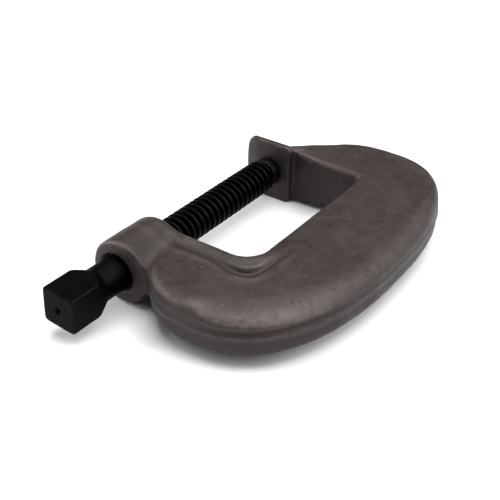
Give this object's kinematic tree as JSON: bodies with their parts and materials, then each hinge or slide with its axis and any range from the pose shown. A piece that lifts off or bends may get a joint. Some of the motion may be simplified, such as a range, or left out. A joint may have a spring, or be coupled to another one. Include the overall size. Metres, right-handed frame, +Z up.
{
  "type": "c-clamp",
  "caption": "Forged C-clamp with a full-closing square-headed Acme screw and a swivel pad, lying on its side, closed.",
  "frame": {"origin": "middle of the bottom of the object's bounding box, on the surface the clamp lies on", "axes": "+X along the screw, the way it advances to the anvil; +Y from the spine to the screw; +Z up, square to the C"},
  "size_m": [0.2158, 0.1286, 0.0358],
  "materials": {
    "forged_steel": "forged scale, brown-grey, satin",
    "black_oxide_steel": "black oxide, oiled",
    "hardened_pad_steel": "hardened, black",
    "spring_steel": "bright drawn wire"
  },
  "bodies": {
    "frame": {"frame": "forged_steel"},
    "pad_carrier": {"pad_retaining_ring": "spring_steel"},
    "spindle": {"spindle": "black_oxide_steel"},
    "pad": {"swivel_pad": "hardened_pad_steel"}
  },
  "joints": [
    {"name": "spindle_travel", "type": "slide", "parent": "frame", "child": "pad_carrier", "axis": [1, 0, 0], "range_m": [-0.091, 0]},
    {"name": "spindle_turn", "type": "hinge", "parent": "pad_carrier", "child": "spindle", "pos_m": [0.0618, 0.046, 0.0179], "axis": [1, 0, 0], "range_deg": [-7740, 0]},
    {"name": "pad_swivel", "type": "hinge", "parent": "pad_carrier", "child": "pad", "pos_m": [0.0618, 0.046, 0.0179], "axis": [1, 0, 0], "continuous": true}
  ],
  "couplings": [
    {"joint": "spindle_turn", "follows": "spindle_travel", "rad_per_m": 1484.2}
  ]
}
